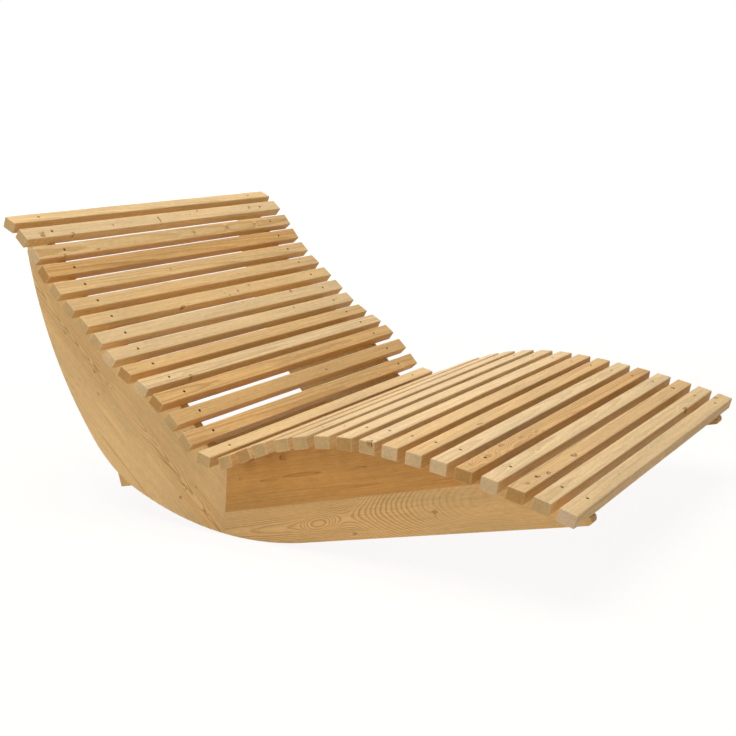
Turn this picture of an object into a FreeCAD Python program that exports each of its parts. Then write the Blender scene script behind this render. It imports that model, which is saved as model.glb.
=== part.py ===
import FreeCAD, Part
import math
import os

# A lounger for two that rocks on its sides. Thirty-one slats lie across two side panels,
# and each panel is glued up from a back board, a seat board and a base board.
# Lengths are in millimetres and angles in degrees. X runs from head to foot, Y across
# to the sitter's left and Z up. The sides are first drawn with their runners level,
# and the whole is then leaned back on its rockers to where it balances.

# The slats and the round along their edges
slat_length = 1200.0
slat_width = 45.0
slat_thickness = 34.0
slat_edge_round = 2.0
slat_seat_shares = (-0.5, -0.25, 0.25, 0.5)

# The two sides, how far the slats reach past them, and the joint under the seat, which
# has its height above the runner at the toe and falls slightly toward the rear
side_thickness = 32.0
slat_overhang_length = 90.0
board_edge_round = 1.5
base_board_height = 125.5
base_joint_slope = 1.21
seat_gap = 0.2

# The lying line over the slats, along which they are spaced.
# Each stretch is an arc: an angle below zero bulges and one above zero hollows.
crown_radius = 100.0
crown_angle = -15.56
head_radius = 416.4
head_angle = -20.16
neck_radius = 548.7
neck_angle = 19.45
back_radius = 1122.2
back_angle = -7.21
waist_radius = 429.7
waist_angle = 18.59
lumbar_radius = 480.9
lumbar_angle = -27.62
seat_radius = 113.5
seat_angle = 81.79
thigh_radius = 882.9
thigh_angle = -32.89
shin_radius = 2653.9
shin_angle = -10.74
foot_slope = 29.16

# The underside: a level runner, then rockers that rise to the back of the head
toe_height = 20.2
toe_round = 12.0
toe_reach = 3.0
runner_length = 836.5
belly_radius = 986.0
belly_angle = 36.4
heel_radius = 399.0
heel_angle = 30.7
head_end_depth = 35.6
head_end_drop = 70.2

# The slats were spaced by eye: how far each one lies off its even place, toward the foot,
# as a share of the pitch
slat_drift_shares = (
    0.10, 0.09, 0.14, 0.06, -0.02, -0.04, -0.04, -0.04, -0.10, -0.11, -0.10,
    -0.13, -0.05, -0.03, -0.01, 0.01, 0.04, -0.07, 0.09, 0.00, 0.04, 0.05,
    0.06, 0.03, 0.02, 0.03, 0.02, 0.02, 0.01, -0.02, -0.07,
)

# The glued joint behind the seat, and where along the lying line it comes up
rear_joint_angle = 20.9
rear_joint_share = 0.4715

# The stop bar under the back keeps the lounger from rocking right over
stop_bar_width = 95.0
stop_bar_height = 45.0
stop_bar_reach = 60.0
stop_bar_place_share = 0.35

# Countersunk wood screws, one through each end of every slat
screw_length = 60.0
screw_diameter = 4.5
screw_head_diameter = 8.6
screw_head_height = 4.0
screw_rim = 0.6
screw_point = 6.0
screw_sink = 1.4
screw_clearance = 0.1
recess_depth = 2.2
recess_radius = 1.5
recess_lobe_radius = 0.55
recess_lobes = 6

# Hidden dowels across the glued joints
dowel_diameter = 10.0
dowel_length = 60.0
dowel_bevel = 1.5
dowel_clearance = 0.1
dowel_end_room = 1.0
base_dowel_count = 4
base_dowel_start = 100.0
base_dowel_pitch = 200.0
rear_dowel_shares = (0.17, 0.50, 0.78)
bar_dowel_diameter = 8.0
bar_dowel_length = 50.0
bar_dowel_shares = ((0.66, 0.80), (0.86, 0.68))

# Weights that decide where the lounger balances, in kilograms per cubic metre
wood_density = 520.0
steel_density = 7850.0

# How far a cutting shape runs past what it cuts
overrun = 1.0

X_AXIS = FreeCAD.Vector(1, 0, 0)
Y_AXIS = FreeCAD.Vector(0, 1, 0)
Z_AXIS = FreeCAD.Vector(0, 0, 1)

lying_arcs = (
    (crown_radius, crown_angle),
    (head_radius, head_angle),
    (neck_radius, neck_angle),
    (back_radius, back_angle),
    (waist_radius, waist_angle),
    (lumbar_radius, lumbar_angle),
    (seat_radius, seat_angle),
    (thigh_radius, thigh_angle),
    (shin_radius, shin_angle),
)
slat_count = len(slat_drift_shares)
line_length = sum(radius * math.radians(abs(turn)) for radius, turn in lying_arcs)
slat_pitch = line_length / (slat_count - 1)
slat_stations = [slat_pitch * (n + share) for n, share in enumerate(slat_drift_shares)]
seat_start = slat_stations[0] - slat_width / 2
seat_end = slat_stations[-1] + slat_width / 2
seat_depth = slat_thickness + seat_gap
outer_face = slat_length / 2 - slat_overhang_length
inner_face = outer_face - side_thickness
side_middle = (outer_face + inner_face) / 2


def along(heading):
    """The unit vector that points along a heading in the plane of a side."""
    angle = math.radians(heading)
    return FreeCAD.Vector(math.cos(angle), 0, math.sin(angle))


def above(heading):
    """The unit vector square to a heading, on its upper side."""
    return along(heading + 90)


def trace_line():
    """Each arc of the lying line: centre, radius, side of the centre and start heading."""
    sections = []
    point = FreeCAD.Vector()
    heading = -foot_slope - sum(turn for radius, turn in lying_arcs)
    for radius, turn in lying_arcs:
        side = math.copysign(1, turn)
        centre = point + above(heading) * side * radius
        sections.append([centre, radius, side, heading])
        heading += turn
        point = centre - above(heading) * side * radius
    return sections


def on_line(distance, depth=0.0):
    """The point at a distance along the lying line and a depth below it, with its heading."""
    for section, (radius, turn) in zip(sections, lying_arcs):
        length = radius * math.radians(abs(turn))
        if distance <= length or section is sections[-1]:
            break
        distance -= length
    centre, radius, side, start = section
    heading = start + side * math.degrees(distance / radius)
    return centre - above(heading) * (side * radius + depth), heading


sections = trace_line()
toe = on_line(seat_end, seat_depth)[0]
for section in sections:
    section[0] = section[0] - toe + Z_AXIS * toe_height


def arc_edge(start, middle, end):
    return Part.Arc(start, middle, end).toShape()


def seat_edges():
    """The upper edge of a side, from behind the first slat to just past the last one."""
    stops = [seat_start]
    for radius, turn in lying_arcs[:-1]:
        stops.append(max(stops[-1], 0.0) + radius * math.radians(abs(turn)))
    stops.append(seat_end + toe_reach)
    edges = []
    for start, end in zip(stops, stops[1:]):
        points = [on_line(at, seat_depth)[0] for at in (start, (start + end) / 2, end)]
        edges.append(arc_edge(*points))
    return edges


def rocker_arc(start, lean, radius, turn):
    """An arc that leaves its start rearward at a lean and climbs, with its end."""
    centre = start + above(-lean) * radius
    middle = centre - above(-lean - turn / 2) * radius
    end = centre - above(-lean - turn) * radius
    return arc_edge(start, middle, end), end


def closing_arc(start, lean, end):
    """The arc that leaves its start rearward at a lean and reaches a given end."""
    run = end - start
    radius = run.Length ** 2 / (2 * run.dot(above(-lean)))
    half_turn = math.degrees(math.asin(run.Length / (2 * radius)))
    centre = start + above(-lean) * radius
    return arc_edge(start, centre - above(-lean - half_turn) * radius, end)


runner_end = FreeCAD.Vector(-runner_length, 0, 0)
belly_centre = runner_end + Z_AXIS * belly_radius


def belly_point(turn):
    """A point on the belly of the rocker, the given turn behind the runner's end."""
    return belly_centre - above(-turn) * belly_radius


def side_outline():
    """The outline of a whole side, in the plane Y = 0."""
    seat = seat_edges()
    head_start = on_line(seat_start, seat_depth)[0]
    head_corner = head_start - X_AXIS * head_end_depth - Z_AXIS * head_end_drop
    toe_top = on_line(seat_end + toe_reach, seat_depth)[0]
    toe_foot = FreeCAD.Vector(toe_top.x, 0, 0)
    toe_start = toe_foot + Z_AXIS * toe_round
    toe_centre = toe_start - X_AXIS * toe_round
    runner_start = toe_foot - X_AXIS * toe_round
    belly, belly_end = rocker_arc(runner_end, 0, belly_radius, belly_angle)
    heel, heel_end = rocker_arc(belly_end, belly_angle, heel_radius, heel_angle)
    back = closing_arc(heel_end, belly_angle + heel_angle, head_corner)
    toe_edge = Part.makeLine(toe_top, toe_start)
    toe_bend = toe_centre + (X_AXIS - Z_AXIS).normalize() * toe_round
    toe_corner = arc_edge(toe_start, toe_bend, runner_start)
    runner = Part.makeLine(runner_start, runner_end)
    head_edge = Part.makeLine(head_corner, head_start)
    edges = seat + [toe_edge, toe_corner, runner, belly, heel, back, head_edge]
    return Part.Wire(Part.__sortEdges__(edges))


def rear_joint_ends():
    """Where the joint behind the seat meets the upper edge, and the belly below it."""
    top = on_line(line_length * rear_joint_share, seat_depth)[0]
    fall = -above(-rear_joint_angle)
    from_centre = top - belly_centre
    half = from_centre.dot(fall)
    reach = -half + math.sqrt(half ** 2 - from_centre.Length ** 2 + belly_radius ** 2)
    return top, top + fall * reach


def plank(corners):
    """A straight-sided prism over a side's full thickness, its outer face at outer_face."""
    wire = Part.makePolygon([*corners, corners[0]])
    return Part.Face(wire).extrude(Y_AXIS * side_thickness).translated(Y_AXIS * inner_face)


def ease_edges(board):
    """Rounds the long edges on both faces of a board."""
    edges = []
    for edge in board.Edges:
        places = [vertex.Point.y for vertex in edge.Vertexes]
        if max(places) - min(places) < board_edge_round:
            edges.append(edge)
    return board.makeFillet(board_edge_round, edges)


def make_boards():
    """The left side's three boards, cut from its outline along the glued joints."""
    face = Part.Face(side_outline())
    side = face.extrude(Y_AXIS * side_thickness).translated(Y_AXIS * inner_face)
    top, bottom = rear_joint_ends()
    reach = (bottom - top).normalize() * line_length
    far = X_AXIS * line_length
    ahead = plank([top - reach, bottom + reach, bottom + reach + far, top - reach + far])
    level = Z_AXIS * base_board_height
    slant = along(base_joint_slope) * line_length
    deep = Z_AXIS * line_length
    low = plank([level - slant, level + slant, far - deep, -far - deep])
    front = side.common(ahead)
    return {
        "back_board": ease_edges(side.cut(ahead)),
        "seat_board": ease_edges(front.cut(low)),
        "base_board": ease_edges(front.common(low)),
    }


def turned(profile):
    """A solid of revolution about Z from its (radius, height) points."""
    points = [FreeCAD.Vector(radius, 0, height) for radius, height in profile]
    face = Part.Face(Part.makePolygon([*points, points[0]]))
    return face.revolve(FreeCAD.Vector(), Z_AXIS, 360)


def screw_profile(room):
    """A screw's half outline, its head's top at zero, grown by a room all round."""
    head = screw_head_diameter / 2 + room
    shank = screw_diameter / 2 + room
    return [(head, 0), (head, -screw_rim), (shank, -screw_head_height),
            (shank, -screw_length + screw_point), (0, -screw_length - room)]


def make_screw():
    """A countersunk screw with a six-lobed recess in its head."""
    body = turned([(0, 0), *screw_profile(0)])
    low = FreeCAD.Vector(0, 0, -recess_depth)
    depth = recess_depth + overrun
    recess = Part.makeCylinder(recess_radius, depth, low)
    for number in range(recess_lobes):
        angle = 2 * math.pi * number / recess_lobes
        out = FreeCAD.Vector(math.cos(angle), math.sin(angle), 0) * recess_radius
        recess = recess.fuse(Part.makeCylinder(recess_lobe_radius, depth, low + out))
    return body.cut(recess)


def make_screw_hole():
    """What a screw's hole takes away, with the bore that its head is sunk through."""
    mouth = screw_head_diameter / 2 + screw_clearance
    top = screw_sink + overrun
    return turned([(0, top), (mouth, top), *screw_profile(screw_clearance)])


def make_dowel(diameter, length, room=0.0, end_room=0.0):
    """A bevelled dowel along Z about its middle, or with room round it, its hole."""
    radius = diameter / 2 + room
    half = length / 2 + end_room
    neck = radius - dowel_bevel
    shoulder = half - dowel_bevel
    return turned([(0, -half), (neck, -half), (radius, -shoulder),
                   (radius, shoulder), (neck, half), (0, half)])


def make_slat():
    """A slat about the middle of its underside, drilled near both ends."""
    corner = FreeCAD.Vector(-slat_width / 2, -slat_length / 2, 0)
    slat = Part.makeBox(slat_width, slat_length, slat_thickness, corner)
    long_edges = [edge for edge in slat.Edges if edge.Length > slat_length - overrun]
    slat = slat.makeFillet(slat_edge_round, long_edges)
    hole = make_screw_hole()
    for end in (-side_middle, side_middle):
        slat = slat.cut(hole.translated(screw_place(end)))
    return slat


def screw_place(end):
    """Where the head of a screw lies in a slat."""
    return FreeCAD.Vector(0, end, slat_thickness - screw_sink)


def seat_lift(distance):
    """How far a slat is lifted where the upper edge hollows, so that it lies on its edges."""
    middle, heading = on_line(distance, seat_depth)
    rises = [0.0]
    for share in slat_seat_shares:
        point = on_line(distance + slat_width * share, seat_depth)[0]
        rises.append((point - middle).dot(above(heading)))
    return max(rises)


def slat_placement(number):
    """Where a slat's own drawing goes on the sides."""
    distance = slat_stations[number]
    point, heading = on_line(distance, slat_thickness)
    point = point + above(heading) * seat_lift(distance)
    return FreeCAD.Placement(point, FreeCAD.Rotation(Y_AXIS, -heading))


def placed(shape, placement):
    """A copy of a shape drawn about the origin, put in its place."""
    moved = shape.copy()
    moved.Placement = placement.multiply(shape.Placement)
    return moved


def joint_crossing():
    """Where the two glued joints meet."""
    top, bottom = rear_joint_ends()
    square = above(base_joint_slope)
    height = Z_AXIS * base_board_height
    share = (top - height).dot(square) / (top - bottom).dot(square)
    return top + (bottom - top) * share


def base_dowels():
    """Placements of the dowels between the seat board and the base board."""
    start = joint_crossing() + Y_AXIS * side_middle
    turn = FreeCAD.Rotation(Y_AXIS, -base_joint_slope)
    for number in range(base_dowel_count):
        reach = base_dowel_start + base_dowel_pitch * number
        yield FreeCAD.Placement(start + along(base_joint_slope) * reach, turn)


def rear_dowels():
    """Placements of the dowels across the joint behind the seat."""
    top, bottom = rear_joint_ends()
    turn = FreeCAD.Rotation(Z_AXIS, along(-rear_joint_angle))
    for share in rear_dowel_shares:
        point = bottom + (top - bottom) * share + Y_AXIS * side_middle
        yield FreeCAD.Placement(point, turn)


def bar_corner():
    """The stop bar's lower rear corner, out beyond the heel of the rocker."""
    belly_end = belly_point(belly_angle)
    centre = belly_end + above(-belly_angle) * heel_radius
    lean = belly_angle + heel_angle * stop_bar_place_share
    return centre - above(-lean) * (heel_radius + stop_bar_reach)


def bar_dowels():
    """Placements of the dowels in the stop bar's left end."""
    turn = FreeCAD.Rotation(Z_AXIS, Y_AXIS)
    for width_share, height_share in bar_dowel_shares:
        point = bar_corner() + Y_AXIS * inner_face
        point += X_AXIS * stop_bar_width * width_share
        point += Z_AXIS * stop_bar_height * height_share
        yield FreeCAD.Placement(point, turn)


def make_stop_bar():
    """The bar between the two back boards."""
    corner = bar_corner() - Y_AXIS * inner_face
    bar = Part.makeBox(stop_bar_width, 2 * inner_face, stop_bar_height, corner)
    long_edges = [edge for edge in bar.Edges if edge.Length > stop_bar_width + overrun]
    return bar.makeFillet(slat_edge_round, long_edges)


def mirrored(shape):
    """The same shape on the right-hand side."""
    return shape.mirror(FreeCAD.Vector(), Y_AXIS)


def both_sides(pieces):
    """Left and right nodes of pieces that are drawn for the left side."""
    nodes = {}
    for name, shape in pieces.items():
        nodes["left_" + name] = shape
        nodes["right_" + name] = mirrored(shape)
    return nodes


def build():
    """Every node of the lounger, with its runners level and its toe at the origin."""
    places = [slat_placement(number) for number in range(slat_count)]
    slat = make_slat()
    nodes = {}
    for number, place in enumerate(places, 1):
        nodes["slat_%02d" % number] = placed(slat, place)

    screw = make_screw().translated(screw_place(side_middle))
    screw_hole = make_screw_hole().translated(screw_place(side_middle))
    dowel = make_dowel(dowel_diameter, dowel_length)
    dowel_hole = make_dowel(dowel_diameter, dowel_length, dowel_clearance, dowel_end_room)
    bar_dowel = make_dowel(bar_dowel_diameter, bar_dowel_length)
    bar_hole = make_dowel(bar_dowel_diameter, bar_dowel_length, dowel_clearance, dowel_end_room)
    joints = [*base_dowels(), *rear_dowels()]
    bar_places = list(bar_dowels())

    holes = [placed(screw_hole, place) for place in places]
    holes += [placed(dowel_hole, place) for place in joints]
    bar_holes = [placed(bar_hole, place) for place in bar_places]
    left = {name: board.cut(holes + bar_holes) for name, board in make_boards().items()}
    left["slat_screws"] = Part.makeCompound([placed(screw, place) for place in places])
    left["joint_dowels"] = Part.makeCompound([placed(dowel, place) for place in joints])
    left["bar_dowels"] = Part.makeCompound([placed(bar_dowel, place) for place in bar_places])
    nodes.update(both_sides(left))
    right_holes = [mirrored(hole) for hole in bar_holes]
    nodes["rear_stop_bar"] = make_stop_bar().cut(bar_holes + right_holes)
    return nodes


def balance_point(nodes):
    """The middle of the whole lounger's weight."""
    total = 0.0
    moment = FreeCAD.Vector()
    for name, shape in nodes.items():
        density = steel_density if "screws" in name else wood_density
        for solid in shape.Solids:
            total += solid.Volume * density
            moment += solid.CenterOfMass * solid.Volume * density
    return moment / total


def rest_lean(nodes):
    """How far the lounger leans back on the belly of its rockers when left to itself."""
    weight = balance_point(nodes)
    behind = belly_centre.x - weight.x
    return max(0.0, math.degrees(math.atan2(behind, belly_radius - weight.z)))


def main():
    nodes = build()
    lean = rest_lean(nodes)
    for shape in nodes.values():
        shape.rotate(belly_centre, Y_AXIS, -lean)
    whole = Part.makeCompound(list(nodes.values())).optimalBoundingBox()
    shift = X_AXIS * -whole.Center.x
    os.makedirs("parts", exist_ok=True)
    for name, shape in nodes.items():
        shape.translate(shift)
        shape.exportStep("parts/" + name + ".step")
    print("slat pitch %.2f, lean at rest %.2f degrees" % (slat_pitch, lean))
    print("length %.1f, width %.1f, height %.1f" % (whole.XLength, whole.YLength, whole.ZMax))
    turn = FreeCAD.Rotation(Y_AXIS, -lean)
    runner = X_AXIS * -(runner_length + toe_round) / 2 + Y_AXIS * side_middle
    runner = belly_centre + turn.multVec(runner - belly_centre) + shift
    print("runner middle", runner, "facing", turn.multVec(-Z_AXIS))
    print("balances over", belly_centre.x + shift.x)


main()
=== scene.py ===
# %% [markdown]
# # A rocking lounger of pine slats
# The lounger's solid parts come from CAD, and this lesson dresses them. The boards, the
# stop bar, the dowels and the screws keep their CAD shapes and get new materials. The
# slats are made again, because hand-eased timber is never as crisp as a drawing.

import bpy
import bmesh
import math
import random
from mathutils import Matrix, Vector, noise


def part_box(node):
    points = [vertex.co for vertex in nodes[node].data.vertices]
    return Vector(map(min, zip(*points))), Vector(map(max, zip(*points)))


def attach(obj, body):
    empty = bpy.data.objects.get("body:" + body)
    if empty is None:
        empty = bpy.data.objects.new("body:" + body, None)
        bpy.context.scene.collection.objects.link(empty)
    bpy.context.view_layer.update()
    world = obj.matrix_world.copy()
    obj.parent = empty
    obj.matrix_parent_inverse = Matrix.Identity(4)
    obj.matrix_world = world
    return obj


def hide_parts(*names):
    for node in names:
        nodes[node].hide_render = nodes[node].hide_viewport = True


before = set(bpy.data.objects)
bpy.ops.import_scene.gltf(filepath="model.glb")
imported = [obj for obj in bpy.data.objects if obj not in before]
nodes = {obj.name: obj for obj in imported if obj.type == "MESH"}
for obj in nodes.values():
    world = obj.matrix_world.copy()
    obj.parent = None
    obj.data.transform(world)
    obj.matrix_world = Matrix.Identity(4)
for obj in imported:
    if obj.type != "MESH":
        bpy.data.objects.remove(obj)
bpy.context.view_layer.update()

# %% [markdown]
# ## Tools for the finishes
# Every material here is a web of small nodes. Naming each node and link by hand would
# hide the idea behind the bookkeeping, so one small helper adds a node and feeds its
# sockets, either with plain values or with the output of another node. Its other methods
# are the few kinds of node that the wood needs again and again.

# %% A helper that wires nodes together
class Wiring:
    """Adds nodes to a node tree and feeds their sockets."""

    def __init__(self, tree):
        self.tree = tree

    def add(self, kind, feeds=None, **settings):
        made = self.tree.nodes.new(kind)
        for name, value in settings.items():
            setattr(made, name, value)
        for key, value in (feeds or {}).items():
            if isinstance(value, bpy.types.NodeSocket):
                self.tree.links.new(value, made.inputs[key])
            else:
                made.inputs[key].default_value = value
        return made

    def math(self, operation, *values, clamp=False):
        feeds = dict(enumerate(values))
        return self.add("ShaderNodeMath", feeds, operation=operation, use_clamp=clamp).outputs[0]

    def vector(self, operation, *values):
        made = self.add("ShaderNodeVectorMath", dict(enumerate(values)), operation=operation)
        return made.outputs["Value" if operation in ("DOT_PRODUCT", "LENGTH") else "Vector"]

    def same_on_all_axes(self, value):
        return self.add("ShaderNodeCombineXYZ", {0: value, 1: value, 2: value}).outputs[0]

    def split(self, place):
        """The X, Y and Z of a place."""
        return self.add("ShaderNodeSeparateXYZ", {0: place}).outputs

    def ramp(self, value, low, high, start=0.0, end=1.0):
        """A smooth step of value from low to high, put out as start to end."""
        feeds = {"Value": value, "From Min": low, "From Max": high, "To Min": start, "To Max": end}
        return self.add("ShaderNodeMapRange", feeds, interpolation_type="SMOOTHSTEP").outputs[0]

    def noise(self, place, stretch, detail=2.0):
        """Noise between 0 and 1 whose grains are 1 / stretch metres long along each axis."""
        scaled = self.vector("MULTIPLY", place, stretch)
        feeds = {"Vector": scaled, "Scale": 1.0, "Detail": detail}
        return self.add("ShaderNodeTexNoise", feeds).outputs[0]

    def curve(self, value, points):
        """A smooth curve through (place, height) points, level beyond the first and the last."""
        low, high = points[0][0], points[-1][0]
        bottom = min(height for place, height in points)
        top = max(height for place, height in points)
        stops = [((place - low) / (high - low), (height - bottom) / (top - bottom))
                 for place, height in points]
        feeds = {"Value": value, "From Min": low, "From Max": high}
        share = self.add("ShaderNodeMapRange", feeds).outputs[0]
        made = self.add("ShaderNodeFloatCurve", {"Value": share})
        line = made.mapping.curves[0].points
        line[0].location, line[1].location = stops[0], stops[-1]
        for stop in stops[1:-1]:
            line.new(*stop)
        made.mapping.update()
        return self.math("MULTIPLY_ADD", made.outputs[0], top - bottom, bottom)

    def mix(self, share, first, second, blend="MIX"):
        """A mix of two colours, whose sockets are the node's seventh and eighth."""
        feeds = {0: share, 6: first, 7: second}
        made = self.add("ShaderNodeMix", feeds, data_type="RGBA", blend_type=blend)
        return made.outputs[2]

    def group(self, group, feeds):
        """A node that stands for a node group; gives its outputs."""
        return self.add("ShaderNodeGroup", feeds, node_tree=group).outputs


print("node helper ready")

# %% [markdown]
# An effect that several pieces share goes into a node group with named sockets, so that
# it is built once and each material only sets its own values. Two short functions open
# and close such a group.

# %% Opening and closing a node group
def new_group(name, inputs, outputs):
    """A shader node group with named sockets, with its wiring and its input node."""
    group = bpy.data.node_groups.new(name, "ShaderNodeTree")
    for in_out, sockets in (("INPUT", inputs), ("OUTPUT", outputs)):
        for socket_name, kind, *value in sockets:
            socket = group.interface.new_socket(socket_name, in_out=in_out, socket_type="NodeSocket" + kind)
            if value:
                socket.default_value = value[0]
    wires = Wiring(group)
    return group, wires, wires.add("NodeGroupInput").outputs


def close_group(wires, results):
    """Feeds a group's outputs."""
    wires.add("NodeGroupOutput", results)


print("group helpers ready")

# %% [markdown]
# A tree grows a new ring each year, pale in spring and dark in late summer. Sawn timber
# shows those rings wherever the saw crossed them: as fine lines on a slat's long faces,
# as arches on a wide board, and as arcs on the end grain. A picture of wood wrapped round
# a slat would not join up at its edges, so the rings are made in space: the distance of
# each point from the tree's heart, counted in ring widths.
# The tree tapers, so the count drifts along the grain (Taper), and it grew unevenly, so
# the count wanders (Wander). Swell lets knots push the rings aside, and Late Start says
# how early in each ring the dark wood begins.

# %% Rings around the tree's heart
group, wires, given = new_group(
    "tree rings",
    [("Place", "Vector"), ("Heart", "Vector"), ("Ring Width", "Float", 0.003),
     ("Taper", "Float", 0.004), ("Wander", "Float", 0.004), ("Swell", "Float", 0.0),
     ("Late Start", "Float", 0.25), ("Seed", "Float", 0.0)],
    [("Latewood", "Float")],
)
seeded = wires.vector("ADD", given["Place"], wires.same_on_all_axes(given["Seed"]))
from_heart = wires.vector("SUBTRACT", given["Place"], given["Heart"])
across = wires.vector("LENGTH", wires.vector("MULTIPLY", from_heart, (1.0, 0.0, 1.0)))
slow = wires.math("SUBTRACT", wires.noise(seeded, (7.0, 1.6, 7.0), 1.5), 0.5)
quick = wires.math("SUBTRACT", wires.noise(seeded, (34.0, 9.0, 34.0), 2.0), 0.5)
along = wires.split(given["Place"])[1]
radius = wires.math("MULTIPLY_ADD", along, given["Taper"], across)
radius = wires.math("MULTIPLY_ADD", slow, given["Wander"], radius)
radius = wires.math("MULTIPLY_ADD", quick, wires.math("MULTIPLY", given["Wander"], 0.22), radius)
radius = wires.math("ADD", radius, given["Swell"])
count = wires.math("DIVIDE", radius, given["Ring Width"])
part = wires.math("FRACT", count)
year = wires.math("ADD", wires.math("FLOOR", count), given["Seed"])
growth = wires.add("ShaderNodeTexWhiteNoise", {"W": year}, noise_dimensions="1D").outputs[0]
rise = wires.ramp(part, given["Late Start"], 0.88)
fall = wires.ramp(part, 0.92, 1.0, 1.0, 0.0)
vigour = wires.math("MULTIPLY_ADD", growth, 0.55, 0.45)
late = wires.math("MULTIPLY", wires.math("MULTIPLY", rise, fall), vigour)
close_group(wires, {"Latewood": late})
tree_rings = group
print("tree rings:", len(group.nodes), "nodes")

# %% [markdown]
# A knot is the foot of a branch. It runs through the piece roughly square to the grain,
# has a thin dark rim of bark, and the rings of the trunk swell round it. Knots are placed
# one by one, so the group takes the sums of the knots before it and adds its own, and
# any number of them can be chained. A long narrow one serves as a streak of resin, and
# one longer across the grain is a branch that the saw met along its length. Noise in the
# knot's own size breaks the rim, because a whole round ring looks like a target, and a
# knot fades out below the face that it shows on. Its own growth rings show faintly.

# %% One knot, ready to chain
group, wires, given = new_group(
    "knot",
    [("Swell", "Float", 0.0), ("Core", "Float", 0.0), ("Rim", "Float", 0.0), ("Place", "Vector"),
     ("Centre", "Vector"), ("Size", "Float", 0.006), ("Stretch", "Float", 1.4), ("Push", "Float", 0.006),
     ("Reach", "Float", 2.6), ("Depth", "Float", 1.0)],
    [("Swell", "Float"), ("Core", "Float"), ("Rim", "Float")],
)
offset = wires.split(wires.vector("SUBTRACT", given["Place"], given["Centre"]))
lean_x = wires.math("MULTIPLY_ADD", offset[2], 0.25, offset[0])
lean_y = wires.math("MULTIPLY_ADD", offset[2], -0.35, offset[1])
near_x = wires.math("DIVIDE", lean_x, given["Size"])
near_y = wires.math("DIVIDE", lean_y, wires.math("MULTIPLY", given["Size"], given["Stretch"]))
flat = wires.add("ShaderNodeCombineXYZ", {0: near_x, 1: near_y}).outputs[0]
distance = wires.vector("LENGTH", flat)
own = wires.vector("ADD", flat, wires.vector("MULTIPLY", given["Centre"], (700.0, 700.0, 0.0)))
ragged = wires.math("SUBTRACT", wires.noise(own, (0.75, 0.75, 0.75), 2.0), 0.5)
broken = wires.ramp(wires.noise(own, (0.45, 0.45, 0.45), 1.0), 0.42, 0.60)
buried = wires.ramp(wires.math("ABSOLUTE", offset[2]), 0.007, 0.018, 1.0, 0.0)
strength = wires.math("MULTIPLY", given["Depth"], buried)
worn = wires.math("MULTIPLY_ADD", ragged, 0.9, distance)
circles = wires.math("SINE", wires.math("MULTIPLY", worn, 13.0))
circles = wires.math("MULTIPLY_ADD", circles, 0.14, 0.86)
core = wires.math("MULTIPLY", wires.ramp(worn, 0.35, 1.2, 1.0, 0.0), circles)
core = wires.math("MULTIPLY", core, strength)
bark = wires.math("MULTIPLY", wires.ramp(worn, 0.60, 0.95), wires.ramp(worn, 1.0, 1.45, 1.0, 0.0))
bark = wires.math("MULTIPLY", wires.math("MULTIPLY", bark, broken), strength)
spread = wires.math("DIVIDE", distance, given["Reach"])
bulge = wires.math("EXPONENT", wires.math("MULTIPLY", wires.math("MULTIPLY", spread, spread), -1.0))
close_group(wires, {
    "Swell": wires.math("MULTIPLY_ADD", bulge, given["Push"], given["Swell"]),
    "Core": wires.math("MAXIMUM", core, given["Core"]),
    "Rim": wires.math("MAXIMUM", bark, given["Rim"]),
})
knot_group = group
print("knot:", len(group.nodes), "nodes")

# %% [markdown]
# The rings become a colour here. Spring wood takes the pale colour and late wood the dark
# one. Real timber is never even, so broad clouds, long streaks, small mottles and hair-fine
# fibres each shift it a little. End grain drinks more oil and dirt, so it has a colour of
# its own and is rougher, and the eased edges get a painted highlight, a touch lighter in
# patches. The same masks drive roughness and the height for the bump, so that colour and relief agree.

# %% Colour, roughness and relief of planed softwood
no_cast = (1.0, 1.0, 1.0, 1.0)
warm_cast = (1.02, 0.93, 0.80, 1.0)
core_dark = (0.34, 0.15, 0.045, 1.0)
core_light = (0.50, 0.25, 0.085, 1.0)
bark_colour = (0.15, 0.055, 0.018, 1.0)
# the colour of the painted highlight on the eased edges
edge_highlight_colour = (0.90, 0.74, 0.50, 1.0)
group, wires, given = new_group(
    "softwood surface",
    [("Place", "Vector"), ("Latewood", "Float"), ("Core", "Float"), ("Rim", "Float"),
     ("End Grain", "Float"), ("Arris", "Float"), ("Spring Colour", "Color"),
     ("Late Colour", "Color"), ("End Colour", "Color"), ("Figure", "Float", 0.7),
     ("Seed", "Float", 0.0)],
    [("Color", "Color"), ("Roughness", "Float"), ("Height", "Float")],
)
seeded = wires.vector("ADD", given["Place"], wires.same_on_all_axes(given["Seed"]))
clouds = wires.noise(seeded, (16.0, 2.2, 16.0), 2.0)
streaks = wires.noise(seeded, (260.0, 5.0, 260.0), 3.0)
mottle = wires.noise(seeded, (150.0, 38.0, 150.0), 2.0)
fibres = wires.noise(seeded, (1500.0, 60.0, 1500.0), 2.0)
flecks = wires.noise(seeded, (620.0, 45.0, 620.0), 1.0)
late_share = wires.math("MULTIPLY", given["Latewood"], given["Figure"], clamp=True)
colour = wires.mix(late_share, given["Spring Colour"], given["Late Colour"])
value = 1.0
for pattern, amount in ((clouds, 0.42), (streaks, 0.48), (mottle, 0.26), (fibres, 0.24)):
    value = wires.math("MULTIPLY_ADD", wires.math("SUBTRACT", pattern, 0.5), amount, value)
dark_fleck = wires.ramp(flecks, 0.62, 0.78, 0.0, 0.22)
value = wires.math("SUBTRACT", value, dark_fleck)
grey = wires.add("ShaderNodeCombineColor", {0: value, 1: value, 2: value}).outputs[0]
colour = wires.mix(1.0, colour, grey, "MULTIPLY")
warm = wires.mix(wires.ramp(clouds, 0.35, 0.75, 0.0, 0.35), no_cast, warm_cast)
colour = wires.mix(1.0, colour, warm, "MULTIPLY")
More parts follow.
